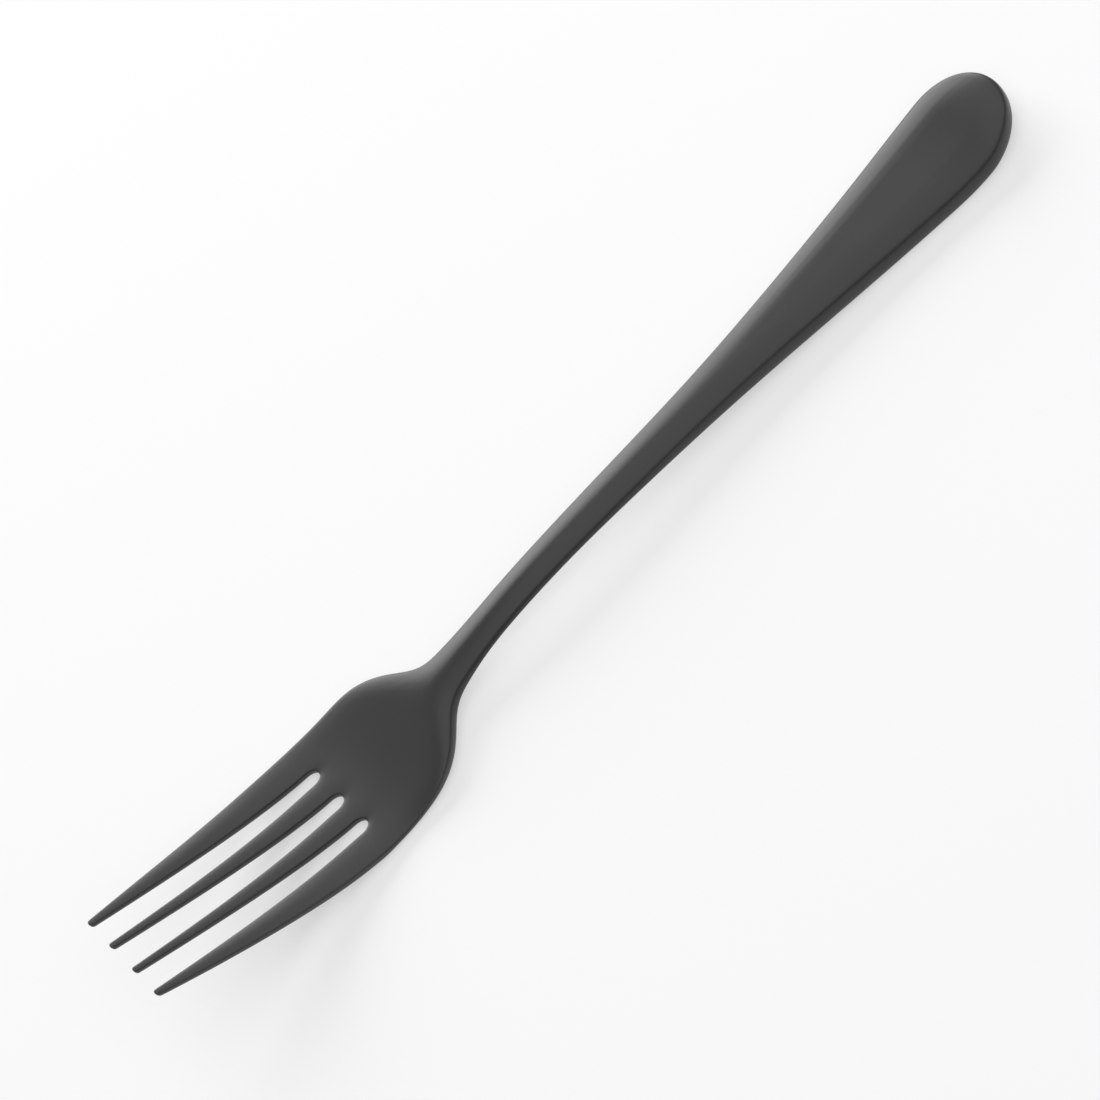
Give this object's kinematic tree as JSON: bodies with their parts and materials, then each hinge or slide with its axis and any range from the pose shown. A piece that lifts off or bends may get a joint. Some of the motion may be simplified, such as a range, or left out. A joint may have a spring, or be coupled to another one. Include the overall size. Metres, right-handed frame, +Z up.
{
  "type": "dinner fork",
  "caption": "Matte black table fork: slim arched neck, long handle widening to a rounded end, dished head with upswept tapering tines.",
  "frame": {"origin": "on the table, under the middle of the fork's length and width", "axes": "+X from the tine tips to the handle end, +Z up out of the hollow side, +Y to the side that makes the three axes right-handed"},
  "size_m": [0.195, 0.0266, 0.0163],
  "materials": {
    "coated_steel": "matte black coating, satin sheen at the edges"
  },
  "bodies": {
    "root": {"handle": "coated_steel", "neck": "coated_steel", "head": "coated_steel", "tine_1": "coated_steel", "tine_2": "coated_steel", "tine_3": "coated_steel", "tine_4": "coated_steel"}
  },
  "joints": []
}
